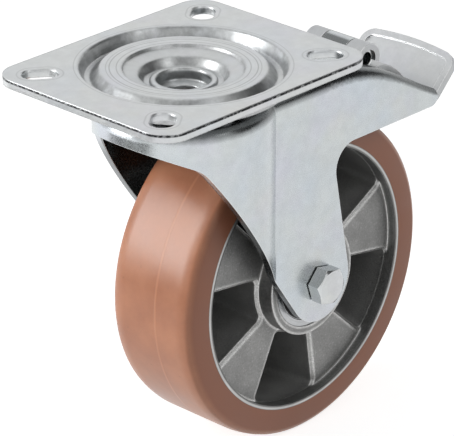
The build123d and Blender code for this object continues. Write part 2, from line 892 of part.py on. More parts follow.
with BuildPart() as lock_lever:
    with BuildSketch(Plane.XZ):
        with BuildLine():
            Polyline(
                (lock_radius + finger_root, lever_middle),
                (joggle_start, lever_middle),
                (joggle_end, tail_middle),
                (lever_end, tail_middle),
            )
        trace(line_width=lever_sheet)
        with Locations(lever_pin_point):
            Circle(lever_boss)
    extrude(amount=lever_half_width, both=True)
    with BuildSketch(Plane.XY.offset(lever_top)):
        with Locations((lock_root_radius, 0)):
            Rectangle(
                lock_radius + 2 * finger_root - lock_root_radius,
                2 * (lever_half_width + finger_width / 2),
                align=(Align.MIN, Align.CENTER),
            )
        Circle(lock_radius + finger_root, mode=Mode.SUBTRACT)
        finger_tip = lock_root_radius + 2 * part_gap
        finger_length = lock_radius + 2 * finger_root - finger_tip
        notch_pitch = 360 / lock_notches
        for turn in (-notch_pitch, 0, notch_pitch):
            middle = polar((0, 0), finger_tip + finger_length / 2, turn)
            with Locations(Location((middle[0], middle[1], 0), (0, 0, turn))):
                Rectangle(finger_length, finger_width)
    extrude(amount=-lever_sheet)
    with BuildSketch(Plane.XZ):
        with Locations(lever_pin_point):
            Circle(lever_pin_radius + running_clearance)
    extrude(amount=2 * lever_half_width, both=True, mode=Mode.SUBTRACT)
lock_lever.part.label = "lock_lever"
export_step(lock_lever.part, "parts/lock_lever.step")

with BuildPart() as lever_pin:
    with BuildSketch(Plane.XZ):
        with Locations(lever_pin_point):
            Circle(lever_pin_radius)
    extrude(amount=lug_inside + carrier_sheet + rivet_head_height, both=True)
lever_pin.part.label = "lever_pin"
export_step(lever_pin.part, "parts/lever_pin.step")

with BuildPart() as return_spring:
    leaf_middle = deck_under - spring_thickness / 2
    leaf_rest = lever_top + part_gap + spring_thickness / 2
    with BuildSketch(Plane.XZ):
        with BuildLine():
            Polyline(
                (spring_rivet_x + 2 * spring_rivet_pitch, leaf_middle),
                (lever_pin_x - 2 * lever_boss, leaf_middle),
                (carrier_front - lever_boss, leaf_rest),
                (carrier_front - 2 * lever_boss, leaf_rest + spring_thickness),
            )
        trace(line_width=spring_thickness)
    extrude(amount=spring_half_width, both=True)
    with BuildSketch(Plane.XY.offset(deck_under)):
        with Locations((spring_rivet_x, 0), (spring_rivet_x + spring_rivet_pitch, 0)):
            Circle(spring_rivet_radius)
    extrude(amount=-spring_thickness, mode=Mode.SUBTRACT)
return_spring.part.label = "return_spring"
export_step(return_spring.part, "parts/return_spring.step")

with BuildPart() as spring_rivets:
    for x in (spring_rivet_x, spring_rivet_x + spring_rivet_pitch):
        with BuildSketch(Plane.XY.offset(head_under)):
            with Locations((x, 0)):
                Circle(spring_rivet_radius)
        extrude(amount=-(carrier_sheet + spring_thickness))
        for level, up in ((head_under, 1), (deck_under - spring_thickness, -1)):
            with BuildSketch(Plane.XY.offset(level)):
                with Locations((x, 0)):
                    Circle(rivet_head_factor * spring_rivet_radius)
            extrude(amount=up * rivet_head_height)
spring_rivets.part.label = "spring_rivets"
export_step(spring_rivets.part, "parts/spring_rivets.step")
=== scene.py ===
"""Finishes, fine fittings and studio stage for a swivel castor with a brake pedal.

Lengths are in metres. X points the way the wheel trails, Y across the fork, Z up,
and the origin is on the swivel axis in the top face of the plate.
"""

import json
import math

import bmesh
import bpy
from mathutils import Matrix, Vector


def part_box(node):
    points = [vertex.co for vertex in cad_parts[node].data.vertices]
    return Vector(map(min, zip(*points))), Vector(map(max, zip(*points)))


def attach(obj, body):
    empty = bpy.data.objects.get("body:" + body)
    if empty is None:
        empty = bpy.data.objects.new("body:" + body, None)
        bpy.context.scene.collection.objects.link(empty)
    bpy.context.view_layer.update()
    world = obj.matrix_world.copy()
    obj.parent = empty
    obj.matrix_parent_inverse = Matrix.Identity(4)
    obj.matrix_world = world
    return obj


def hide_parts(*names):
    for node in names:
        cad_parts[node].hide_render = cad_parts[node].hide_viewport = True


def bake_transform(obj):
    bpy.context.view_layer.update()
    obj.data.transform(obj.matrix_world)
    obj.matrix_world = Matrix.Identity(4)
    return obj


bl_info = {
    "name": "Castor finishes",
    "version": (1, 0, 0),
    "blender": (4, 5, 0),
    "location": "3D View > Sidebar > Castor",
    "description": "Zinc, polyurethane and cast aluminium finishes for a swivel castor",
    "category": "Material",
}

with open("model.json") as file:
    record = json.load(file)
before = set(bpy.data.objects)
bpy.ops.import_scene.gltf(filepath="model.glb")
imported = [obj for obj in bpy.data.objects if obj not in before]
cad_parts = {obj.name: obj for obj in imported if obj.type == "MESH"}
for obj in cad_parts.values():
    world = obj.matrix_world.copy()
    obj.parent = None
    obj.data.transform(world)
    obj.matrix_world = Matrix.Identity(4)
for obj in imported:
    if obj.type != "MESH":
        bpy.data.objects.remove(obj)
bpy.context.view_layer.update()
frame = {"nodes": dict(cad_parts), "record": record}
nodes = frame["nodes"]
mm = 0.001
FINISHES = {}


def span(node):
    """Lowest and highest corner of a node, as vectors."""
    low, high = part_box(node)
    return Vector(low), Vector(high)


axle_low, axle_high = span("tread")
axle = (axle_low + axle_high) / 2
wheel_radius = (axle_high.x - axle_low.x) / 2
wheel_half = (axle_high.y - axle_low.y) / 2
rim_radius = (span("wheel_centre")[1].x - span("wheel_centre")[0].x) / 2
drum_radius = -span("fork")[0].x
floor_height = axle_low.z

# ---- places that the finishes go by ----

# radius, width and darkness of the painted shade along the tool rings on the plate's dish
TOOL_RINGS = (
    (30.4 * mm, 0.35 * mm, 0.5),
    (33.6 * mm, 0.35 * mm, 0.6),
    (35.2 * mm, 0.30 * mm, 0.4),
    (39.6 * mm, 0.30 * mm, 0.4),
    (49.6 * mm, 0.35 * mm, 0.35),
)
# the coined rim beyond a slot's edge, drawn as a line of painted shade, and the painted dark line
# of shade on the plate's cut edge
SLOT_RIM_OUT = 2.3 * mm
SLOT_RIM_WIDTH = 0.5 * mm
EDGE_SHADE_HEIGHT = -0.75 * mm
EDGE_SHADE_WIDTH = 0.75 * mm
# where each mask begins, and where it is full
SLOT_WALL_OUT = (1.5 * mm, 2.0 * mm)
DISH_EDGE = (54.0 * mm, 53.0 * mm)
# the fork drum's inner face, which gets painted shade
DRUM_WALL = (drum_radius - 2.4 * mm, drum_radius - 3.4 * mm)
DRUM_INSIDE = (-26.0 * mm, -28.0 * mm)
CHEEK_INSIDE = (29.0 * mm, 30.0 * mm)
LEG_TOP = (-40.0 * mm, -52.0 * mm)
TREAD_FACE = (wheel_radius - 1.0 * mm, wheel_radius - 0.4 * mm)
# the tread's sides, which get painted shade
TREAD_SIDE = (wheel_half - 1.2 * mm, wheel_half)
# the floors between the wheel's pads, which get painted shade
BOSS_EDGE = (27.4 * mm, 27.9 * mm)
PAD_FOOT = (19.6 * mm, 14.5 * mm)
RIM_INNER = (rim_radius - 2.6 * mm, rim_radius - 2.1 * mm)
RIM_SIDE = (23.6 * mm, 24.6 * mm)
# width of the painted highlight line on the rim's turned face, and its distance from the rim's
# edge
TURNED_HIGHLIGHT_LINE = 0.7 * mm

# ---- tints and textures that finishes share ----

ZINC_BLUE = (0.93, 0.97, 1.06)
ZINC_VIOLET = (1.0, 0.95, 1.05)
ZINC_STRAW = (1.05, 1.01, 0.93)
# colours of edges bright from wear and a painted highlight, and of the painted dark line of shade
# on cut edges
ZINC_WEAR_AND_HIGHLIGHT = (0.82, 0.83, 0.83)
EDGE_SHADE_BLACK = (0.02, 0.02, 0.022)
CASTING_WEAR_AND_HIGHLIGHT = (0.68, 0.68, 0.67)
# keeps the violet and straw patches off the blue ones
PATCH_SHIFT = (0.21, 0.13, 0.37)
# values that a noise mostly stays between
NOISE_RANGE = (0.3, 0.7)
# fine lines in a metre of ground steel
GROUND_LINES = 2600.0
# share of a normal above which a face counts as level
LEVEL = 0.995

# ---- sizes of the copies, the fine fittings and the stage ----

# degrees past which an edge stays sharp: turned pieces, sheet and casting, tread, balls
TURNED_ANGLE = 28.0
SHEET_ANGLE = 24.0
TREAD_ANGLE = 40.0
BALL_ANGLE = 60.0
# points of a copy nearer than this are joined
COPY_JOIN = 0.002 * mm
FITTING_JOIN = 0.001 * mm
# the bolt's shank keeps its place, and points this near the back of its head lie on it
SHANK_RADIUS = 6.2 * mm
HEAD_BACK_BAND = 0.01 * mm
# thread: radius, size of its ridge, and its distances from the nut and the bolt's end
THREAD_RADIUS = 5.85 * mm
THREAD_RIDGE = 0.45 * mm
THREAD_START = 0.3 * mm
THREAD_STOP = 1.0 * mm
# radius of a shield's inner lip as a share of the seal's, and points round a lip
SHIELD_STEP = 0.86
RING_STEPS = 128
FLOOR_SIDE = 12.0
SENSOR_WIDTH = 36.0
# name, place, target, size and share of the lamp power
LAMPS = (
    ("side_lamp", (-0.86, 0.69, 0.32), (0.03, 0.0, -0.10), (0.5, 0.8), 1.0),
    ("top_lamp", (0.25, -0.9, 0.9), (0.05, 0.0, -0.10), (0.6, 0.6), 0.2),
)
# name, place, target, size and shade of the dark cards
CARDS = (
    ("high_card", (0.66, -0.44, 0.56), (0.05, 0.0, -0.06), (1.2, 0.85), 0.02),
    ("over_card", (-0.45, -0.5, 0.85), (0.05, 0.0, -0.06), (0.8, 0.45), 0.12),
    ("low_card", (-0.31, 0.137, -0.15), (-0.04, 0.0, -0.03), (0.4, 0.08), 0.04),
)


# ---- settings that a user would change ----


class ZincSettings(bpy.types.PropertyGroup):
    """Colours and gloss of the zinc plating."""

    plate_colour: bpy.props.FloatVectorProperty(
        name="Plate colour",
        description="Reflected colour of the top plate's satin plating",
        subtype="COLOR",
        size=3,
        default=(0.585, 0.60, 0.60),
    )
    fork_colour: bpy.props.FloatVectorProperty(
        name="Fork colour",
        description="Reflected colour of the fork's bright plating",
        subtype="COLOR",
        size=3,
        default=(0.535, 0.565, 0.57),
    )
    pedal_colour: bpy.props.FloatVectorProperty(
        name="Pedal colour",
        description="Reflected colour of the pedal's plating",
        subtype="COLOR",
        size=3,
        default=(0.465, 0.475, 0.48),
    )
    bright_colour: bpy.props.FloatVectorProperty(
        name="Fastener colour",
        description="Reflected colour of the bolt, nut and pins",
        subtype="COLOR",
        size=3,
        default=(0.56, 0.575, 0.575),
    )
    plate_roughness: bpy.props.FloatProperty(
        name="Plate roughness",
        description="Mean roughness of the top plate",
        default=0.36,
        min=0.0,
        max=1.0,
        subtype="FACTOR",
    )
    fork_roughness: bpy.props.FloatProperty(
        name="Fork roughness",
        description="Mean roughness of the fork",
        default=0.27,
        min=0.0,
        max=1.0,
        subtype="FACTOR",
    )
    edge_round: bpy.props.FloatProperty(
        name="Edge round",
        description="Radius that light sees on the sheet's cut edges",
        default=0.5 * mm,
        unit="LENGTH",
    )


class WheelSettings(bpy.types.PropertyGroup):
    """Colours and marks of the tread and the wheel centre."""

    tread_colour: bpy.props.FloatVectorProperty(
        name="Tread colour",
        description="Colour of the cast polyurethane",
        subtype="COLOR",
        size=3,
        default=(0.56, 0.24, 0.13),
    )
    parting_place: bpy.props.FloatProperty(
        name="Parting line place",
        description="Distance of the mould line from the middle of the tread",
        default=-4.0 * mm,
        unit="LENGTH",
    )
    parting_width: bpy.props.FloatProperty(
        name="Parting line width",
        description="Width of the mould line round the tread",
        default=0.8 * mm,
        unit="LENGTH",
    )
    casting_colour: bpy.props.FloatVectorProperty(
        name="Casting colour",
        description="Colour of the raised pads of the die casting",
        subtype="COLOR",
        size=3,
        default=(0.31, 0.31, 0.305),
    )
    # painted shade of the floors between the pads
    recess_shade_colour: bpy.props.FloatVectorProperty(
        name="Recess colour",
        description="Colour of the floors between the pads",
        subtype="COLOR",
        size=3,
        default=(0.29, 0.29, 0.285),
    )
    grain_size: bpy.props.FloatProperty(
        name="Casting grain",
        description="Size of the grain on the casting",
        default=0.9 * mm,
        unit="LENGTH",
    )


class FittingSettings(bpy.types.PropertyGroup):
    """Sizes of the fine fittings."""

    thread_pitch: bpy.props.FloatProperty(
        name="Thread pitch",
        description="Rise of one turn of the axle bolt's thread",
        default=1.75 * mm,
        unit="LENGTH",
    )
    shield_lip: bpy.props.FloatProperty(
        name="Shield lip",
        description="Thickness of the rolled lips on a bearing's shield",
        default=0.35 * mm,
        unit="LENGTH",
    )
    head_height: bpy.props.FloatProperty(
        name="Head height",
        description="Height of the bolt head over the cheek",
        default=7.5 * mm,
        unit="LENGTH",
    )
    head_turn: bpy.props.FloatProperty(
        name="Head turn",
        description="Angle that the bolt head is tightened to",
        default=math.radians(48),
        subtype="ANGLE",
    )
    head_share: bpy.props.FloatProperty(
        name="Head share",
        description="Width of the bolt head as a share of the rough size",
        default=0.91,
    )
    washer_face: bpy.props.FloatProperty(
        name="Washer face",
        description="Height of the round face under the bolt head",
        default=0.6 * mm,
        unit="LENGTH",
    )


class StageSettings(bpy.types.PropertyGroup):
    """Camera, lamps and floor."""

    camera_turn: bpy.props.FloatProperty(
        name="Camera turn",
        description="Angle of the camera round the upright axis",
        default=math.radians(-46.472),
        subtype="ANGLE",
    )
    camera_height: bpy.props.FloatProperty(
        name="Camera height",
        description="Angle of the camera above the horizon",
        default=math.radians(24.487),
        subtype="ANGLE",
    )
    camera_distance: bpy.props.FloatProperty(
        name="Camera distance",
        description="Distance from the camera to the plane through the swivel axis",
        default=1.559042,
        unit="LENGTH",
    )
    camera_right: bpy.props.FloatProperty(
        name="Camera shift right",
        description="Sideways move of the camera from the swivel axis",
        default=19.486 * mm,
        unit="LENGTH",
    )
    camera_down: bpy.props.FloatProperty(
        name="Camera shift down",
        description="Downward move of the camera from the swivel axis",
        default=69.169 * mm,
        unit="LENGTH",
    )
    lens: bpy.props.FloatProperty(
        name="Lens",
        description="Focal length in millimetres on a 36 mm frame",
        default=274.85,
    )
    lamp_power: bpy.props.FloatProperty(
        name="Lamp power",
        description="Power of the main soft lamp in watts",
        default=10.0,
    )
    sky_strength: bpy.props.FloatProperty(
        name="Room light",
        description="Strength of the even light from all sides",
        default=0.32,
    )


# ---- node trees ----


def tree_node(tree, kind, inputs=None, **settings):
    """Adds a node to a tree, sets it, and joins or fills its inputs."""
    made = tree.nodes.new(kind)
    for key, value in settings.items():
        setattr(made, key, value)
    for key, value in (inputs or {}).items():
        socket = made.inputs[key]
        if isinstance(value, bpy.types.NodeSocket):
            tree.links.new(value, socket)
        else:
            socket.default_value = value
    return made


class Graph:
    """Short way to write a material's nodes."""

    def __init__(self, name):
        self.label = name
        self.material = bpy.data.materials.new(name)
        self.material.use_nodes = True
        self.tree = self.material.node_tree
        self.tree.nodes.clear()
        self.out = self.tree.nodes.new("ShaderNodeOutputMaterial")
        coords = self.tree.nodes.new("ShaderNodeTexCoord")
        self.place = coords.outputs["Object"]

    def node(self, kind, inputs=None, **settings):
        """Adds a shader node."""
        return tree_node(self.tree, "ShaderNode" + kind, inputs, **settings)

    def math(self, operation, a, b=0.0, c=0.0, clamp=False):
        """Result of one Math node."""
        made = self.node("Math", {0: a, 1: b, 2: c}, operation=operation, use_clamp=clamp)
        return made.outputs[0]

    def times(self, a, b, clamp=False):
        """One value times another."""
        return self.math("MULTIPLY", a, b, clamp=clamp)

    def hypotenuse(self, a, b):
        """Length of a step that goes a one way and b across it."""
        square = self.times(b, b)
        return self.math("SQRT", self.math("MULTIPLY_ADD", a, a, square))

    def noise(self, size, detail=3.0, roughness=0.5, place=None):
        """Soft noise whose patches have a size in metres."""
        inputs = {
            "Vector": place or self.place,
            "Scale": 1.0 / size,
            "Detail": detail,
            "Roughness": roughness,
        }
        return self.node("TexNoise", inputs).outputs["Fac"]

    def spread(self, value, low, high, to_low=0.0, to_high=1.0):
        """Carries a range of values over to another range, and clamps it there."""
        inputs = {
            "Value": value,
            "From Min": low,
            "From Max": high,
            "To Min": to_low,
            "To Max": to_high,
        }
        return self.node("MapRange", inputs).outputs["Result"]

    def vary(self, noise, low, high):
        """Value that goes from low to high over a noise's usual range."""
        return self.spread(noise, *NOISE_RANGE, low, high)

    def mix(self, share, a, b):
        """Colour a with a share of colour b."""
        made = self.node("Mix", data_type="RGBA")
        for socket, value in ((made.inputs[0], share), (made.inputs[6], a), (made.inputs[7], b)):
            if isinstance(value, bpy.types.NodeSocket):
                self.tree.links.new(value, socket)
            elif socket.type == "RGBA":
                socket.default_value = (*value[:3], 1.0)
            else:
                socket.default_value = value
        return made.outputs[2]

    def scale_colour(self, colour, factor):
        """Colour that is made lighter or darker by a factor."""
        made = self.node("VectorMath", {0: colour, 3: factor}, operation="SCALE")
        return made.outputs[0]

    def axis(self, index):
        """Place along one axis of the piece."""
        return self.node("SeparateXYZ", {0: self.place}).outputs[index]

    def facing(self, index, radius=0.0):
        """Share of the piece's own normal along an axis, over edges rounded by a radius."""
        normal = self.rounded(radius) if radius else self.node("NewGeometry").outputs["Normal"]
        own = self.node(
            "VectorTransform",
            {"Vector": normal},
            vector_type="NORMAL",
            convert_from="WORLD",
            convert_to="OBJECT",
        )
        return self.node("SeparateXYZ", {0: own.outputs[0]}).outputs[index]

    def moved(self, centre):
        """Places counted from a centre."""
        inputs = {"Vector": self.place, "Location": tuple(-v for v in centre)}
        return self.node("Mapping", inputs, vector_type="POINT").outputs[0]

    def around(self, centre, along):
        """Distance from an axis through a point: along is the axis index."""
        parts = self.node("SeparateXYZ", {0: self.moved(centre)}).outputs
        a, b = [parts[i] for i in range(3) if i != along]
        return self.hypotenuse(a, b)

    def line(self, value, at, width):
        """1 on a soft line where a value is at a place, and 0 away from it."""
        away = self.math("ABSOLUTE", self.math("SUBTRACT", value, at))
        return self.spread(away, width / 2, width, 1.0, 0.0)

    def edges(self, radius, full=0.86):
        """1 on edges and 0 on flats, from how far a rounded normal leans."""
        bevel = self.node("Bevel", {"Radius": radius}, samples=6)
        flat = self.node("NewGeometry")
        lean = self.node(
            "VectorMath",
            {0: bevel.outputs[0], 1: flat.outputs["Normal"]},
            operation="DOT_PRODUCT",
        )
        return self.spread(lean.outputs["Value"], LEVEL, full)

    def rounded(self, radius):
        """Normal over edges rounded by a radius."""
        return self.node("Bevel", {"Radius": radius}, samples=8).outputs[0]

    def bump(self, height, distance, strength=1.0, normal=None):
        """Normal with a fine relief on it."""
        inputs = {"Height": height, "Distance": distance, "Strength": strength}
        if normal is not None:
            inputs["Normal"] = normal
        return self.node("Bump", inputs).outputs[0]

    def finish(self, inputs):
        """Ends the material in its shader, and gives its name and itself."""
        shader = self.node("BsdfPrincipled", inputs)
        self.tree.links.new(shader.outputs[0], self.out.inputs["Surface"])
        return self.label, self.material


def shaded(colour, factor):
    """Colour with its channels scaled by one factor, or by one factor each."""
    factors = factor if isinstance(factor, tuple) else (factor,) * 3
    return tuple(c * f for c, f in zip(colour, factors))


# ---- finishes ----


def tinted_zinc(graph, colour, amount):
    """Base colour of zinc with its faint blue, violet and straw patches."""
    first = graph.spread(graph.noise(34 * mm, 2.0), 0.42, 0.66, 0.0, amount)
    moved = graph.moved(PATCH_SHIFT)
    second = graph.spread(graph.noise(22 * mm, 3.0, place=moved), 0.5, 0.72, 0.0, amount)
    third = graph.spread(graph.noise(15 * mm, 2.0, place=moved), 0.55, 0.75, 0.0, 0.6 * amount)
    tint = graph.mix(first, colour, shaded(colour, ZINC_BLUE))
    tint = graph.mix(second, tint, shaded(colour, ZINC_VIOLET))
    return graph.mix(third, tint, shaded(colour, ZINC_STRAW))


def zinc_finish(
    name,
    colour,
    roughness,
    tint,
    edge_round,
    marks=None,
    grain=1.0,
    deep=0.45,
    soft=0.0,
    shine=0.55,
):
    """Zinc plating: patchy tint, fine spangle, and edges made bright by wear and a painted
    highlight.

    marks gives the places of painted shade, the relief and the painted dark line of shade on cut
    edges, grain is the strength of the spangle, deep the colour's share in the painted shade,
    soft a radius that light sees on the folds, and shine the brightness of the edges' wear and
    painted highlight.
    """
    graph = Graph(name)
    colour = tuple(colour)
    base = tinted_zinc(graph, colour, tint)
    spangle = graph.noise(0.9 * mm, 2.0)
    mottle = graph.noise(6 * mm, 4.0, 0.6)
    base = graph.scale_colour(base, graph.vary(mottle, 0.94, 1.05))
    fleck = 0.025 * grain
    base = graph.scale_colour(base, graph.vary(spangle, 1 - fleck, 1 + fleck))
    height = graph.times(spangle, 0.25 * grain)
    if marks:
        dark, relief, edge_shade_and_mould_line = marks(graph)
        # painted shade in the marked dark places
        base = graph.mix(dark, base, shaded(colour, deep))
        height = graph.math("ADD", height, relief)
    # edges made bright by wear and a painted highlight
    wear_and_highlight = graph.edges(edge_round * 1.6)
    base = graph.mix(graph.times(wear_and_highlight, shine), base, ZINC_WEAR_AND_HIGHLIGHT)
    if marks:
        # the painted dark line of shade on cut edges
        base = graph.mix(edge_shade_and_mould_line, base, EDGE_SHADE_BLACK)
    rough = graph.vary(mottle, roughness - 0.015, roughness + 0.02)
    rough = graph.math("ADD", rough, graph.vary(spangle, -0.02, 0.02))
    rough = graph.math("MULTIPLY_ADD", wear_and_highlight, -0.08, rough)
    normal = graph.bump(height, 0.02 * mm, 0.35, graph.rounded(max(edge_round, soft)))
    return graph.finish(
        {"Base Color": base, "Metallic": 1.0, "Roughness": rough, "Normal": normal}
    )


def slot_reach(graph, bolts):
    """Distance from the middle line of the nearest bolt slot."""
    across = bolts["spacing_x_mm"] / 2 * mm
    back = bolts["spacing_y_mm"] / 2 * mm
    half_run = (bolts["slot_length_mm"] / 2 - bolts["hole_r_mm"]) * mm
    turn = math.atan2(back, across)
    x = graph.math("SUBTRACT", graph.math("ABSOLUTE", graph.axis(0)), across)
    y = graph.math("SUBTRACT", graph.math("ABSOLUTE", graph.axis(1)), back)
    along = graph.math("MULTIPLY_ADD", x, math.cos(turn), graph.times(y, math.sin(turn)))
    aside = graph.math("MULTIPLY_ADD", y, math.cos(turn), graph.times(x, -math.sin(turn)))
    beyond = graph.math("SUBTRACT", graph.math("ABSOLUTE", along), half_run)
    beyond = graph.math("MAXIMUM", beyond, 0.0)
    return graph.hypotenuse(beyond, aside)


def plate_marks(graph):
    """Painted shade along the tool rings, the coined slot rims and the dish's slopes, the rings'
    relief, and a painted dark line on the cut edge.
    """
    ring = graph.around((0, 0, 0), 2)
    # painted shade along the tool rings and the coined slot rims, which also sink a little in the
    # relief
    dark = 0.0
    for radius, width, depth in TOOL_RINGS:
        mark = graph.times(graph.line(ring, radius, width), depth)
        dark = graph.math("MAXIMUM", dark, mark)
    mounts = frame["record"]["mounts"]
    bolts = [m for m in mounts if m["name"] == "plate_bolts"][0]["dims"]
    hole = bolts["hole_r_mm"] * mm
    reach = slot_reach(graph, bolts)
    rim = graph.line(reach, hole + SLOT_RIM_OUT, SLOT_RIM_WIDTH)
    dark = graph.math("MAXIMUM", dark, graph.times(rim, 0.3))
    relief = graph.times(dark, -1.2)
    # painted shade: a dark reflection painted in patches on the dish's sloping walls
    slope_shade = graph.spread(graph.facing(2, 2.5 * mm), LEVEL, 0.80)
    patch = graph.spread(graph.noise(4 * mm, 4.0, 0.65), 0.35, 0.65, 0.3, 0.75)
    dish = graph.spread(ring, *DISH_EDGE)
    slope_shade = graph.times(graph.times(slope_shade, patch), dish)
    # painted shade: a dark, broken line along the plate's cut edge, kept off the dish and the
    # slot walls
    edge_shade_and_mould_line = graph.line(graph.axis(2), EDGE_SHADE_HEIGHT, EDGE_SHADE_WIDTH)
    edge_shade_and_mould_line = graph.times(edge_shade_and_mould_line, graph.spread(graph.facing(2), 0.9, 0.7))
    outside = graph.spread(reach, *(hole + away for away in SLOT_WALL_OUT))
    edge_shade_and_mould_line = graph.times(edge_shade_and_mould_line, graph.math("SUBTRACT", outside, dish))
    gaps = graph.spread(graph.noise(1.3 * mm, 2.0), 0.38, 0.5, 0.6, 1.0)
    edge_shade_and_mould_line = graph.times(edge_shade_and_mould_line, gaps, clamp=True)
    return graph.math("MAXIMUM", dark, slope_shade), relief, edge_shade_and_mould_line


def fork_marks(graph):
    """Painted shade on the drum's inner face and on the rolled shoulder, and darker sheared cheek
    edges.
    """
    # painted shade on the inside of the drum
    inner = graph.spread(graph.around((0, 0, 0), 2), *DRUM_WALL)
    inner = graph.times(inner, graph.spread(graph.axis(2), *DRUM_INSIDE))
    # painted shade: a dark reflection painted on the rolled shoulder's slope
    upright = graph.facing(2)
    rolled = graph.times(graph.spread(upright, 0.12, 0.5), graph.spread(upright, LEVEL, 0.95))
    rolled = graph.times(rolled, 0.85)
    sheared = graph.spread(graph.math("ABSOLUTE", graph.facing(1)), 0.5, 0.3)
    cheek = graph.spread(graph.math("ABSOLUTE", graph.axis(1)), *CHEEK_INSIDE)
    sheared = graph.times(sheared, cheek)
    leg = graph.spread(graph.axis(2), *LEG_TOP, 0.0, 0.75)
    sheared = graph.times(sheared, leg)
    dark = graph.math("MAXIMUM", inner, rolled)
    return graph.math("MAXIMUM", dark, sheared), 0.0, 0.0


def tread_finish(settings):
    """Cast polyurethane: soft mottling, a mould line, painted shade on the sides and a little
    depth.
    """
    graph = Graph("tread_polyurethane")
    colour = tuple(settings.tread_colour)
    dark = shaded(colour, (0.80, 0.74, 0.72))
    pale = shaded(colour, (1.13, 1.17, 1.2))
    cloud = graph.noise(24 * mm, 4.0, 0.55)
    fine = graph.noise(1.6 * mm, 3.0, 0.6)
    base = graph.mix(graph.spread(cloud, 0.35, 0.68), dark, colour)
    base = graph.mix(graph.spread(fine, 0.55, 0.75, 0.0, 0.12), base, pale)
    speck = graph.spread(graph.noise(3.2 * mm, 1.0), 0.74, 0.8, 0.0, 0.35)
    base = graph.mix(speck, base, shaded(colour, 0.55))
    across = graph.axis(1)
    # the tread's mould line, paler and raised
    edge_shade_and_mould_line = graph.line(across, settings.parting_place, settings.parting_width)
    edge_shade_and_mould_line = graph.times(edge_shade_and_mould_line, graph.spread(graph.around(axle, 1), *TREAD_FACE))
    base = graph.mix(graph.times(edge_shade_and_mould_line, 0.5), base, pale)
    # painted shade on the tread's sides
    side_shade = graph.spread(graph.math("ABSOLUTE", across), *TREAD_SIDE)
    base = graph.mix(graph.times(side_shade, 0.85), base, shaded(colour, (0.62, 0.53, 0.52)))
    rough = graph.vary(cloud, 0.30, 0.40)
    rough = graph.math("MULTIPLY_ADD", side_shade, 0.08, rough)
    height = graph.math("MULTIPLY_ADD", edge_shade_and_mould_line, 2.0, graph.times(fine, 0.25))
    normal = graph.bump(height, 0.06 * mm, 0.35)
    return graph.finish(
        {
            "Base Color": base,
            "Roughness": rough,
            "Normal": normal,
            "Specular IOR Level": 0.5,
            "Subsurface Weight": 0.12,
            "Subsurface Radius": (0.004, 0.0016, 0.0009),
            "Subsurface Scale": 1.0,
            "Coat Weight": 0.08,
            "Coat Roughness": 0.22,
        }
    )


def casting_finish(settings, edge_round):
    """Die-cast aluminium: granular pads, painted shade on the floors, a darker rim face and
    painted highlights on the edges.
    """
    graph = Graph("cast_aluminium")
    colour = tuple(settings.casting_colour)
    recess = tuple(settings.recess_shade_colour)
    size = settings.grain_size
    grain = graph.noise(size, 3.0, 0.65)
    pits = graph.node("TexVoronoi", {"Vector": graph.place, "Scale": 0.6 / size})
    pit = graph.spread(pits.outputs["Distance"], 0.0, 0.35, 1.0, 0.0)
    cloud = graph.noise(11 * mm, 3.0)
    base = graph.mix(graph.spread(grain, 0.35, 0.7), shaded(colour, 0.72), colour)
    base = graph.mix(graph.spread(grain, 0.6, 0.78, 0.0, 0.5), base, (0.62, 0.62, 0.61))
    base = graph.mix(graph.times(pit, 0.4), base, shaded(colour, 0.4))
    depth = graph.math("ABSOLUTE", graph.axis(1))
    reach = graph.around(axle, 1)
    # painted shade on the floors between the pads: a darker, less metallic colour
    recess_shade = graph.spread(depth, *PAD_FOOT)
    recess_shade = graph.times(recess_shade, graph.spread(reach, *BOSS_EDGE))
    deep = graph.mix(graph.spread(grain, 0.35, 0.7), shaded(recess, 0.8), recess)
    base = graph.mix(recess_shade, base, deep)
    # the rim's face is darker
    rim = graph.spread(reach, *RIM_INNER)
    rim = graph.times(rim, graph.spread(depth, *RIM_SIDE))
    base = graph.mix(rim, base, shaded(colour, 0.62))
    # a thin turned band by the rim's edge, unbumped and painted brighter as a highlight
    turned = graph.line(reach, rim_radius - TURNED_HIGHLIGHT_LINE, TURNED_HIGHLIGHT_LINE)
    turned = graph.times(turned, rim)
    # painted highlight on the pad edges, broken by the grain and kept off the rim
    wear_and_highlight = graph.edges(edge_round * 5.0, 0.96)
    wear_and_highlight = graph.times(wear_and_highlight, graph.spread(grain, 0.3, 0.6, 0.45, 1.0))
    wear_and_highlight = graph.times(wear_and_highlight, graph.math("SUBTRACT", 1.0, rim))
    bright = graph.math("MAXIMUM", wear_and_highlight, graph.times(turned, 0.6))
    base = graph.mix(bright, base, CASTING_WEAR_AND_HIGHLIGHT)
    base = graph.scale_colour(base, graph.vary(cloud, 0.88, 1.1))
    rough = graph.vary(grain, 0.42, 0.6)
    rough = graph.math("MULTIPLY_ADD", bright, -0.2, rough)
    height = graph.math("MULTIPLY_ADD", pit, -0.6, grain)
    height = graph.times(height, graph.math("SUBTRACT", 1.0, turned))
    normal = graph.bump(height, 0.16 * mm, 0.6, graph.rounded(edge_round * 2.0))
    metal = graph.math("MULTIPLY_ADD", recess_shade, -0.55, 0.9)
    return graph.finish(
        {"Base Color": base, "Metallic": metal, "Roughness": rough, "Normal": normal}
    )


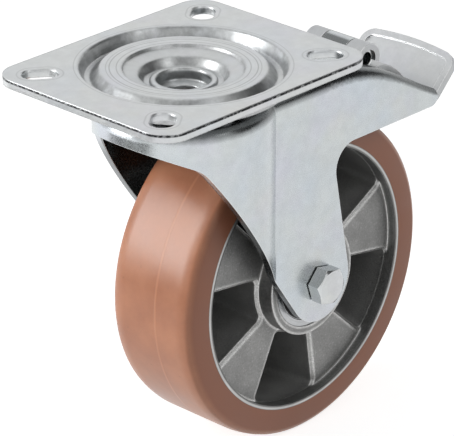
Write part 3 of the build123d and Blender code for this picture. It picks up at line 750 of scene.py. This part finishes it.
def ground_finish(name, colour, roughness, centre, along):
    """Ground or turned steel with fine rings about an axis."""
    graph = Graph(name)
    reach = graph.around(centre, along)
    inputs = {"Scale": GROUND_LINES, "Detail": 2.0, "W": reach}
    rings = graph.node("TexNoise", inputs, noise_dimensions="1D").outputs["Fac"]
    cloud = graph.noise(7 * mm, 3.0)
    base = graph.mix(graph.vary(rings, 0.0, 1.0), shaded(colour, 0.82), colour)
    base = graph.scale_colour(base, graph.vary(cloud, 0.92, 1.06))
    rough = graph.vary(cloud, roughness - 0.05, roughness + 0.07)
    # edges made bright by wear and a painted highlight
    wear_and_highlight = graph.edges(0.5 * mm)
    base = graph.mix(graph.times(wear_and_highlight, 0.5), base, (0.8, 0.8, 0.8))
    normal = graph.bump(rings, 0.015 * mm, 0.4, graph.rounded(0.3 * mm))
    return graph.finish(
        {"Base Color": base, "Metallic": 1.0, "Roughness": rough, "Normal": normal}
    )


def rubber_finish(name, colour, roughness):
    """Matt rubber with dust in its grain."""
    graph = Graph(name)
    grain = graph.noise(0.8 * mm, 4.0, 0.6)
    dust = graph.spread(graph.noise(5 * mm, 4.0), 0.5, 0.75, 0.0, 0.35)
    base = graph.mix(dust, colour, tuple(c * 2.2 + 0.02 for c in colour))
    base = graph.mix(graph.times(graph.edges(0.6 * mm), 0.4), base, (0.16, 0.16, 0.16))
    rough = graph.vary(grain, roughness - 0.07, roughness + 0.07)
    normal = graph.bump(grain, 0.05 * mm, 0.5, graph.rounded(0.4 * mm))
    return graph.finish({"Base Color": base, "Roughness": rough, "Normal": normal})


# ---- finished copies of the frame's nodes ----


def wear(obj, material):
    """Gives a piece one material."""
    obj.data.materials.clear()
    obj.data.materials.append(material)


def smooth_copy(node, angle=TURNED_ANGLE):
    """Joined copy of a node with smooth shading that breaks at real edges."""
    source = nodes[node]
    mesh = source.data.copy()
    mesh.name = node + "_skin"
    if mesh.has_custom_normals:
        mesh.attributes.remove(mesh.attributes["custom_normal"])
    form = bmesh.new()
    form.from_mesh(mesh)
    bmesh.ops.remove_doubles(form, verts=form.verts, dist=COPY_JOIN)
    form.to_mesh(mesh)
    form.free()
    mesh.shade_smooth()
    mesh.set_sharp_from_angle(angle=math.radians(angle))
    copy = bpy.data.objects.new(node + "_skin", mesh)
    bpy.context.scene.collection.objects.link(copy)
    weight = copy.modifiers.new("Even shading", "WEIGHTED_NORMAL")
    weight.mode = "FACE_AREA"
    weight.weight = 50
    weight.keep_sharp = True
    return copy


def dress(names, body, material, angle=TURNED_ANGLE):
    """Puts finished copies in the place of nodes of one body."""
    for name in names:
        piece = smooth_copy(name, angle)
        wear(piece, material)
        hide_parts(name)
        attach(piece, body)


def bend_spring(material):
    """Finished copy of the leaf spring, with its place baked into its points."""
    leaf = smooth_copy("return_spring")
    wear(leaf, material)
    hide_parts("return_spring")
    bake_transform(leaf)


def shape_head(mesh, fitting):
    """Turns a bolt's head about the axle, trims it and lifts its back off the cheek."""
    back = span("axle_bolt")[0].y + fitting.head_height
    cosine = math.cos(fitting.head_turn) * fitting.head_share
    sine = math.sin(fitting.head_turn) * fitting.head_share
    for vertex in mesh.vertices:
        x = vertex.co.x - axle.x
        z = vertex.co.z - axle.z
        if vertex.co.y > back + HEAD_BACK_BAND or math.hypot(x, z) < SHANK_RADIUS:
            continue
        if vertex.co.y > back - HEAD_BACK_BAND:
            vertex.co.y -= fitting.washer_face
        vertex.co.x = axle.x + x * cosine - z * sine
        vertex.co.z = axle.z + x * sine + z * cosine


# ---- geometry node trees ----


def new_tree(name, sockets):
    """Geometry node tree with named inputs and one mesh output."""
    tree = bpy.data.node_groups.new(name, "GeometryNodeTree")
    tree.interface.new_socket("Geometry", in_out="OUTPUT", socket_type="NodeSocketGeometry")
    for label, kind, value in sockets:
        socket = tree.interface.new_socket(label, in_out="INPUT", socket_type=kind)
        socket.default_value = value
    return tree, tree.nodes.new("NodeGroupInput").outputs, tree.nodes.new("NodeGroupOutput")


def close_tree(tree, end, geometry, material):
    """Ends a tree in real geometry with its material."""
    real = tree_node(tree, "GeometryNodeRealizeInstances", {"Geometry": geometry})
    dressed = tree_node(
        tree, "GeometryNodeSetMaterial", {"Geometry": real.outputs[0], "Material": material}
    )
    tree.links.new(dressed.outputs[0], end.inputs["Geometry"])


def grow(name, tree, values, place):
    """Runs a tree once and keeps its result as a plain mesh at a place."""
    seed_mesh = bpy.data.meshes.new(name + "_seed")
    holder = bpy.data.objects.new(name + "_seed", seed_mesh)
    bpy.context.scene.collection.objects.link(holder)
    modifier = holder.modifiers.new("Grow", "NODES")
    modifier.node_group = tree
    names = {
        item.name: item.identifier
        for item in tree.interface.items_tree
        if item.item_type == "SOCKET" and item.in_out == "INPUT"
    }
    for label, value in values.items():
        modifier[names[label]] = value
    holder.update_tag()
    depsgraph = bpy.context.evaluated_depsgraph_get()
    mesh = bpy.data.meshes.new_from_object(holder.evaluated_get(depsgraph))
    if not mesh.polygons:
        raise RuntimeError(name + " grew no faces")
    bpy.data.objects.remove(holder)
    mesh.transform(place)
    mesh.name = name
    form = bmesh.new()
    form.from_mesh(mesh)
    bmesh.ops.remove_doubles(form, verts=form.verts, dist=FITTING_JOIN)
    bmesh.ops.recalc_face_normals(form, faces=form.faces)
    form.to_mesh(mesh)
    form.free()
    mesh.shade_smooth()
    piece = bpy.data.objects.new(name, mesh)
    bpy.context.scene.collection.objects.link(piece)
    return piece


def sweep(tree, end, path, thickness, steps, material, caps=False):
    """Runs a round profile along a path and ends the tree."""
    profile = tree_node(
        tree, "GeometryNodeCurvePrimitiveCircle", {"Resolution": steps, "Radius": thickness}
    )
    swept = tree_node(
        tree,
        "GeometryNodeCurveToMesh",
        {"Curve": path.outputs[0], "Profile Curve": profile.outputs[0], "Fill Caps": caps},
    )
    close_tree(tree, end, swept.outputs[0], material)


def ring_tree(material):
    """Round lip that runs round an axis."""
    sockets = (
        ("Radius", "NodeSocketFloat", 0.02),
        ("Thickness", "NodeSocketFloat", 0.0003),
        ("Steps", "NodeSocketInt", RING_STEPS),
    )
    tree, start, end = new_tree("rolled_ring", sockets)
    path = tree_node(
        tree,
        "GeometryNodeCurvePrimitiveCircle",
        {"Resolution": start["Steps"], "Radius": start["Radius"]},
    )
    sweep(tree, end, path, start["Thickness"], 12, material)
    return tree


def thread_tree(material):
    """Ridge of a screw thread that winds along an axis."""
    sockets = (
        ("Radius", "NodeSocketFloat", 0.006),
        ("Length", "NodeSocketFloat", 0.005),
        ("Turns", "NodeSocketFloat", 3.0),
        ("Ridge", "NodeSocketFloat", 0.0006),
    )
    tree, start, end = new_tree("screw_thread", sockets)
    path = tree_node(
        tree,
        "GeometryNodeCurveSpiral",
        {
            "Resolution": 40,
            "Rotations": start["Turns"],
            "Start Radius": start["Radius"],
            "End Radius": start["Radius"],
            "Height": start["Length"],
        },
    )
    sweep(tree, end, path, start["Ridge"], 6, material, caps=True)
    return tree


# ---- operators ----


def finishes(scene):
    """Every finish by name, made once."""
    zinc = scene.castor_zinc
    wheel = scene.castor_wheel
    if not FINISHES:
        edge = zinc.edge_round
        ready = (
            zinc_finish(
                "zinc_plate",
                zinc.plate_colour,
                zinc.plate_roughness,
                tint=0.35,
                edge_round=edge,
                marks=plate_marks,
                soft=1.6 * mm,
                shine=0.1,
            ),
            zinc_finish(
                "zinc_fork",
                zinc.fork_colour,
                zinc.fork_roughness,
                tint=0.6,
                edge_round=edge,
                marks=fork_marks,
                grain=0.35,
                deep=0.2,
            ),
            zinc_finish(
                "zinc_pedal", zinc.pedal_colour, 0.4, tint=0.3, edge_round=edge, shine=0.8
            ),
            zinc_finish("zinc_bright", zinc.bright_colour, 0.2, tint=0.4, edge_round=edge * 0.7),
            zinc_finish("spring_steel", (0.16, 0.17, 0.2), 0.35, tint=0.5, edge_round=edge * 0.5),
            ground_finish("bearing_steel", (0.5, 0.51, 0.52), 0.22, centre=axle, along=1),
            ground_finish("race_steel", (0.42, 0.42, 0.43), 0.25, centre=(0, 0, 0), along=2),
            rubber_finish("seal_rubber", (0.02, 0.02, 0.02), 0.6),
            rubber_finish("brake_rubber", (0.03, 0.03, 0.03), 0.75),
            tread_finish(wheel),
            casting_finish(wheel, edge),
        )
        FINISHES.update(ready)
    return FINISHES


class CASTOR_OT_plate(bpy.types.Operator):
    """Finishes the top plate, its hollow pin, the washer and the lock ring"""

    bl_idname = "castor.plate"
    bl_label = "Top plate and swivel head"

    def execute(self, context):
        made = finishes(context.scene)
        dress(["top_plate"], "base", made["zinc_plate"], SHEET_ANGLE)
        dress(["king_pin"], "base", made["zinc_plate"])
        dress(["thrust_washer"], "base", made["race_steel"])
        dress(["lock_ring"], "base", made["zinc_plate"])
        dress(["race_balls"], "ball_ring", made["race_steel"], BALL_ANGLE)
        return {"FINISHED"}


class CASTOR_OT_fork(bpy.types.Operator):
    """Finishes the pressed fork and the brake carrier under it"""

    bl_idname = "castor.fork"
    bl_label = "Fork and brake carrier"

    def execute(self, context):
        made = finishes(context.scene)
        dress(["fork", "brake_carrier"], "fork_frame", made["zinc_fork"], SHEET_ANGLE)
        dress(["spring_rivets", "lever_pin", "pedal_pin"], "fork_frame", made["zinc_bright"])
        bend_spring(made["spring_steel"])
        return {"FINISHED"}


class CASTOR_OT_wheel(bpy.types.Operator):
    """Finishes the tread and the die-cast wheel centre"""

    bl_idname = "castor.wheel"
    bl_label = "Wheel"

    def execute(self, context):
        made = finishes(context.scene)
        dress(["tread"], "wheel", made["tread_polyurethane"], TREAD_ANGLE)
        dress(["wheel_centre"], "wheel", made["cast_aluminium"], SHEET_ANGLE)
        return {"FINISHED"}


class CASTOR_OT_bearings(bpy.types.Operator):
    """Finishes the wheel bearings and adds the rolled lips of their shields"""

    bl_idname = "castor.bearings"
    bl_label = "Wheel bearings"

    def execute(self, context):
        made = finishes(context.scene)
        lip = context.scene.castor_fitting.shield_lip
        dress(["bearing_outer_rings"], "wheel", made["bearing_steel"])
        dress(["bearing_seals"], "wheel", made["seal_rubber"])
        dress(["bearing_inner_rings", "centre_spacer"], "fork_frame", made["bearing_steel"])
        tree = ring_tree(made["bearing_steel"])
        low, high = span("bearing_seals")
        outer = (high.x - low.x) / 2
        turn = Matrix.Rotation(math.radians(90), 4, "X")
        for label, face in (("near", low.y), ("far", high.y)):
            place = Matrix.Translation((axle.x, face, axle.z)) @ turn
            for part, radius in (("rim", outer - lip), ("step", outer * SHIELD_STEP)):
                values = {"Radius": radius, "Thickness": lip, "Steps": RING_STEPS}
                piece = grow("shield_" + part + "_" + label, tree, values, place)
                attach(piece, "wheel")
        return {"FINISHED"}


class CASTOR_OT_axle(bpy.types.Operator):
    """Finishes the axle bolt, nut and spacers and adds the bolt's thread"""

    bl_idname = "castor.axle"
    bl_label = "Axle"

    def execute(self, context):
        made = finishes(context.scene)
        fitting = context.scene.castor_fitting
        dress(["axle_bolt", "axle_nut", "side_spacers"], "fork_frame", made["zinc_bright"])
        shape_head(bpy.data.objects["axle_bolt_skin"].data, fitting)
        dress(["axle_tube"], "fork_frame", made["bearing_steel"])
        start = span("axle_nut")[1].y + THREAD_START
        length = span("axle_bolt")[1].y - THREAD_STOP - start
        turn = Matrix.Rotation(math.radians(-90), 4, "X")
        values = {
            "Radius": THREAD_RADIUS,
            "Length": length,
            "Turns": length / fitting.thread_pitch,
            "Ridge": THREAD_RIDGE,
        }
        place = Matrix.Translation((axle.x, start, axle.z)) @ turn
        piece = grow("bolt_thread", thread_tree(made["zinc_bright"]), values, place)
        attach(piece, "fork_frame")
        return {"FINISHED"}


class CASTOR_OT_pedal(bpy.types.Operator):
    """Finishes the pedal, its brake pad, the pad's rivets and the lock lever"""

    bl_idname = "castor.pedal"
    bl_label = "Pedal and brake pad"

    def execute(self, context):
        made = finishes(context.scene)
        dress(["brake_pedal"], "pedal", made["zinc_pedal"], SHEET_ANGLE)
        dress(["brake_pad"], "pedal", made["brake_rubber"])
        dress(["pad_rivets"], "pedal", made["zinc_bright"])
        dress(["lock_lever"], "lock", made["zinc_plate"])
        return {"FINISHED"}


class CASTOR_OT_stage(bpy.types.Operator):
    """Sets up the floor, lamps, room light and camera"""

    bl_idname = "castor.stage"
    bl_label = "Studio stage"

    def execute(self, context):
        scene = context.scene
        stage = scene.castor_stage
        scene.view_settings.view_transform = "Standard"
        lay_floor()
        light_room(scene, stage.sky_strength)
        for name, place, target, size, share in LAMPS:
            hang_lamp(name, place, target, size, stage.lamp_power * share)
        for card in CARDS:
            hang_card(*card)
        place_camera(scene, stage)
        return {"FINISHED"}


def seen_share(tree):
    """1 where a ray shows, mirrors or lets through what it meets, and 0 where it lights."""
    rays = tree_node(tree, "ShaderNodeLightPath").outputs
    seen = rays["Is Camera Ray"]
    for other in ("Is Glossy Ray", "Is Transmission Ray"):
        both = tree_node(tree, "ShaderNodeMath", {0: seen, 1: rays[other]}, operation="MAXIMUM")
        seen = both.outputs[0]
    return seen


def flat_sheet(name, steps, width, depth, material):
    """Level sheet of the stage, with its middle at the origin."""
    mesh = bpy.data.meshes.new(name)
    form = bmesh.new()
    bmesh.ops.create_grid(form, x_segments=steps, y_segments=steps, size=0.5)
    bmesh.ops.scale(form, verts=form.verts, vec=(width, depth, 1.0))
    form.to_mesh(mesh)
    form.free()
    sheet = bpy.data.objects.new(name, mesh)
    bpy.context.scene.collection.objects.link(sheet)
    wear(sheet, material)
    return sheet


def aim(obj, place, target):
    """Puts an object at a place and turns its face to a target."""
    obj.location = place
    look = Vector(target) - Vector(place)
    obj.rotation_euler = look.to_track_quat("-Z", "Y").to_euler()


def lay_floor():
    """Pale floor that shows white and keeps the soft shadow."""
    graph = Graph("pale_floor")
    plain = graph.node("BsdfDiffuse", {"Color": (0.6, 0.6, 0.6, 1.0)})
    strength = graph.times(seen_share(graph.tree), 0.80)
    glow = graph.node("Emission", {"Color": (1.0, 1.0, 1.0, 1.0), "Strength": strength})
    both = graph.node("AddShader", {0: plain.outputs[0], 1: glow.outputs[0]})
    graph.tree.links.new(both.outputs[0], graph.out.inputs["Surface"])
    floor = flat_sheet("studio_floor", 8, FLOOR_SIDE, FLOOR_SIDE, graph.material)
    floor.location.z = floor_height


def light_room(scene, strength):
    """Even room light: white where it is seen or mirrored, softer where it falls."""
    world = bpy.data.worlds.new("studio_room")
    scene.world = world
    world.use_nodes = True
    tree = world.node_tree
    tree.nodes.clear()
    levels = {"Value": seen_share(tree), "To Min": strength, "To Max": 1.0}
    level = tree_node(tree, "ShaderNodeMapRange", levels).outputs["Result"]
    white = {"Color": (1.0, 1.0, 1.0, 1.0), "Strength": level}
    back = tree_node(tree, "ShaderNodeBackground", white)
    tree_node(tree, "ShaderNodeOutputWorld", {"Surface": back.outputs[0]})


def hang_lamp(name, place, target, size, power):
    """Soft lamp that looks at a target and isn't seen itself."""
    data = bpy.data.lights.new(name, "AREA")
    data.shape = "RECTANGLE"
    data.size, data.size_y = size
    data.energy = power
    lamp = bpy.data.objects.new(name, data)
    bpy.context.scene.collection.objects.link(lamp)
    aim(lamp, place, target)
    lamp.visible_camera = False


def hang_card(name, place, target, size, shade):
    """Dark card that only shows as a reflection, and draws the folds of the metal."""
    graph = Graph(name + "_black")
    flat = graph.node("Emission", {"Color": (shade, shade, shade, 1.0), "Strength": 1.0})
    graph.tree.links.new(flat.outputs[0], graph.out.inputs["Surface"])
    card = flat_sheet(name, 6, *size, graph.material)
    aim(card, place, target)
    card.visible_camera = False
    card.visible_diffuse = False
    card.visible_shadow = False
    card.visible_transmission = False


def place_camera(scene, stage):
    """Camera at a turn, height and distance from the swivel axis."""
    turn, lift = stage.camera_turn, stage.camera_height
    back = Vector(
        (
            math.sin(turn) * math.cos(lift),
            -math.cos(turn) * math.cos(lift),
            math.sin(lift),
        )
    )
    right = Vector((math.cos(turn), math.sin(turn), 0.0))
    up = back.cross(right)
    data = bpy.data.cameras.new("studio_camera")
    data.lens = stage.lens
    data.sensor_width = SENSOR_WIDTH
    data.sensor_fit = "HORIZONTAL"
    data.clip_end = 50.0
    camera = bpy.data.objects.new("studio_camera", data)
    scene.collection.objects.link(camera)
    place = back * stage.camera_distance + right * stage.camera_right - up * stage.camera_down
    axes = Matrix((right, up, back)).transposed().to_4x4()
    camera.matrix_world = Matrix.Translation(place) @ axes
    scene.camera = camera


class CASTOR_PT_sidebar(bpy.types.Panel):
    """Lists the castor's steps in the 3D view's sidebar"""

    bl_label = "Castor"
    bl_idname = "CASTOR_PT_sidebar"
    bl_space_type = "VIEW_3D"
    bl_region_type = "UI"
    bl_category = "Castor"

    def draw(self, context):
        for step in STEPS:
            self.layout.operator(step.bl_idname)


STEPS = (
    CASTOR_OT_plate,
    CASTOR_OT_fork,
    CASTOR_OT_wheel,
    CASTOR_OT_bearings,
    CASTOR_OT_axle,
    CASTOR_OT_pedal,
    CASTOR_OT_stage,
)
SETTINGS = {
    "castor_zinc": ZincSettings,
    "castor_wheel": WheelSettings,
    "castor_fitting": FittingSettings,
    "castor_stage": StageSettings,
}


def register():
    """Adds the castor's settings, steps and panel to Blender."""
    for name, group in SETTINGS.items():
        bpy.utils.register_class(group)
        setattr(bpy.types.Scene, name, bpy.props.PointerProperty(type=group))
    for step in STEPS:
        bpy.utils.register_class(step)
    bpy.utils.register_class(CASTOR_PT_sidebar)


def unregister():
    """Takes the panel, steps and settings away again."""
    bpy.utils.unregister_class(CASTOR_PT_sidebar)
    for step in reversed(STEPS):
        bpy.utils.unregister_class(step)
    for name, group in SETTINGS.items():
        delattr(bpy.types.Scene, name)
        bpy.utils.unregister_class(group)


def main():
    """Runs every step in order."""
    register()
    for step in STEPS:
        group, _, action = step.bl_idname.partition(".")
        getattr(getattr(bpy.ops, group), action)()


if __name__ == "__main__":
    main()
